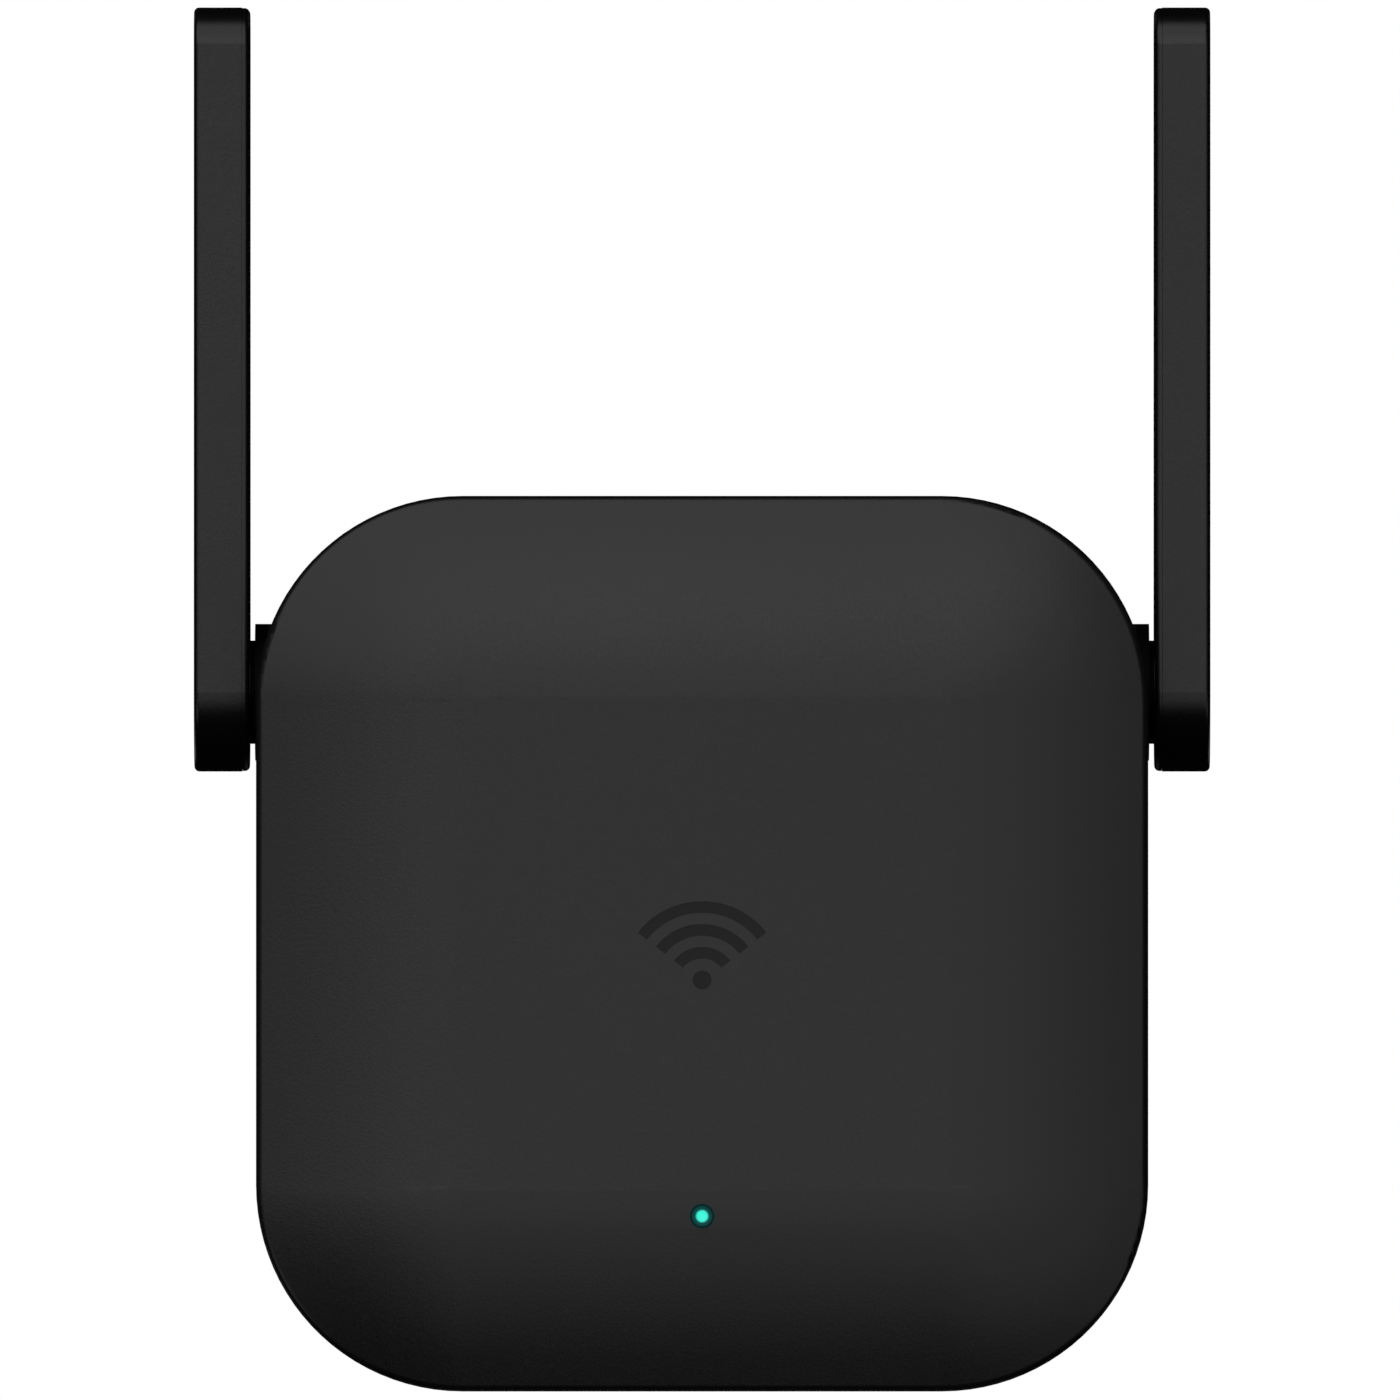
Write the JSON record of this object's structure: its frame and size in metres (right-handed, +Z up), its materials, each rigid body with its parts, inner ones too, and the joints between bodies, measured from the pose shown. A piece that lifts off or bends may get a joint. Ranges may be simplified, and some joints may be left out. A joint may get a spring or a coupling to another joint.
{
  "type": "wifi range extender",
  "caption": "Plug-in wireless range extender: crowned rounded-square body, flat folding blade antennas at the sides, round-pin mains plug at the back, small status light and reset plunger.",
  "frame": {"origin": "centre of the plug's engagement face, the plane that meets the wall socket", "axes": "+Y out along the mains pins into the socket, the crowned face looks along -Y, +Z up with the antennas raised"},
  "size_m": [0.0914, 0.065, 0.1243],
  "materials": {
    "cover_plastic": "fine spark-eroded matt black",
    "antenna_plastic": "fine matt black",
    "plug_plastic": "matt black with a slight sheen",
    "sleeve_plastic": "smooth black",
    "pin_metal": "nickel-plated brass",
    "light_pipe_clear": "clear acrylic lit teal from behind",
    "led_package": "white package with a clear lens",
    "board_laminate": "green solder mask with faint tracks",
    "antenna_laminate": "dark green laminate",
    "copper_foil": "bare copper under lacquer",
    "chip_epoxy": "moulded epoxy",
    "tinned_steel": "tin-plated sheet",
    "thermal_gel": "soft grey filled silicone",
    "ferrite": "ground ferrite",
    "capacitor_ceramic": "tan fired ceramic with tinned ends",
    "disc_epoxy": "blue dipped epoxy",
    "can_sleeve": "shrunk sleeve, aluminium top",
    "bobbin_plastic": "moulded phenolic",
    "winding_tape": "yellow polyester tape",
    "enamelled_wire": "enamelled copper wire",
    "resistor_body": "grey-green lacquered",
    "screw_steel": "zinc-plated",
    "spring_steel": "dark tempered strip",
    "cable_jacket": "grey fluoropolymer",
    "header_plastic": "black nylon",
    "contact_gold": "gold flash",
    "solder": "bright solder",
    "insulation_film": "translucent polyester film",
    "label_film": "satin black blank film",
    "button_plastic": "dark grey",
    "switch_plastic": "black nylon with tinned feet"
  },
  "bodies": {
    "root": {"bridge_rectifier": "chip_epoxy", "buck_inductor": "ferrite", "ceramic_capacitors": "capacitor_ceramic", "choke_winding": "enamelled_wire", "controller_chip": "chip_epoxy", "crystal": "tinned_steel", "filter_choke": "ferrite", "flash_chip": "chip_epoxy", "front_cover": "cover_plastic", "fuse_resistor": "resistor_body", "hinge_washer_left": "spring_steel", "hinge_washer_right": "spring_steel", "input_capacitors": "can_sleeve", "insulation_sheet": "insulation_film", "light_pipe": "light_pipe_clear", "link_header": "header_plastic", "link_pins": "contact_gold", "output_capacitor": "can_sleeve", "output_diode": "chip_epoxy", "pigtail_left": "cable_jacket", "pigtail_right": "cable_jacket", "pin_sleeves": "sleeve_plastic", "plug_base": "plug_plastic", "plug_pin_left": "pin_metal", "plug_pin_right": "pin_metal", "power_board": "board_laminate", "power_board_screws": "screw_steel", "rating_label": "label_film", "rear_cover": "cover_plastic", "reset_switch": "switch_plastic", "rf_solder_joints": "solder", "safety_capacitor": "disc_epoxy", "shield_can": "tinned_steel", "status_led": "led_package", "thermal_pad": "thermal_gel", "transformer_bobbin": "bobbin_plastic", "transformer_core": "ferrite", "transformer_winding": "winding_tape", "wifi_board": "board_laminate", "wifi_board_screws": "screw_steel", "wifi_chip": "chip_epoxy"},
    "antenna_left": {"antenna_shell_left": "antenna_plastic", "antenna_cover_left": "antenna_plastic", "antenna_board_left": "antenna_laminate", "antenna_dipole_left": "copper_foil", "antenna_coax_left": "cable_jacket", "hinge_clip_left": "spring_steel"},
    "antenna_right": {"antenna_shell_right": "antenna_plastic", "antenna_cover_right": "antenna_plastic", "antenna_board_right": "antenna_laminate", "antenna_dipole_right": "copper_foil", "antenna_coax_right": "cable_jacket", "hinge_clip_right": "spring_steel"},
    "reset_plunger": {"reset_button": "button_plastic", "reset_switch_stem": "button_plastic"}
  },
  "joints": [
    {"name": "antenna_left_fold", "type": "hinge", "parent": "root", "child": "antenna_left", "pos_m": [-0.0375, -0.024, 0.02255], "axis": [1, 0, 0], "range_deg": [0, 180]},
    {"name": "antenna_right_fold", "type": "hinge", "parent": "root", "child": "antenna_right", "pos_m": [0.0375, -0.024, 0.02255], "axis": [1, 0, 0], "range_deg": [0, 180]},
    {"name": "reset_press", "type": "slide", "parent": "root", "child": "reset_plunger", "axis": [0, 0, 1], "range_m": [0, 0.0004], "stiffness_N_per_m": 5}
  ]
}
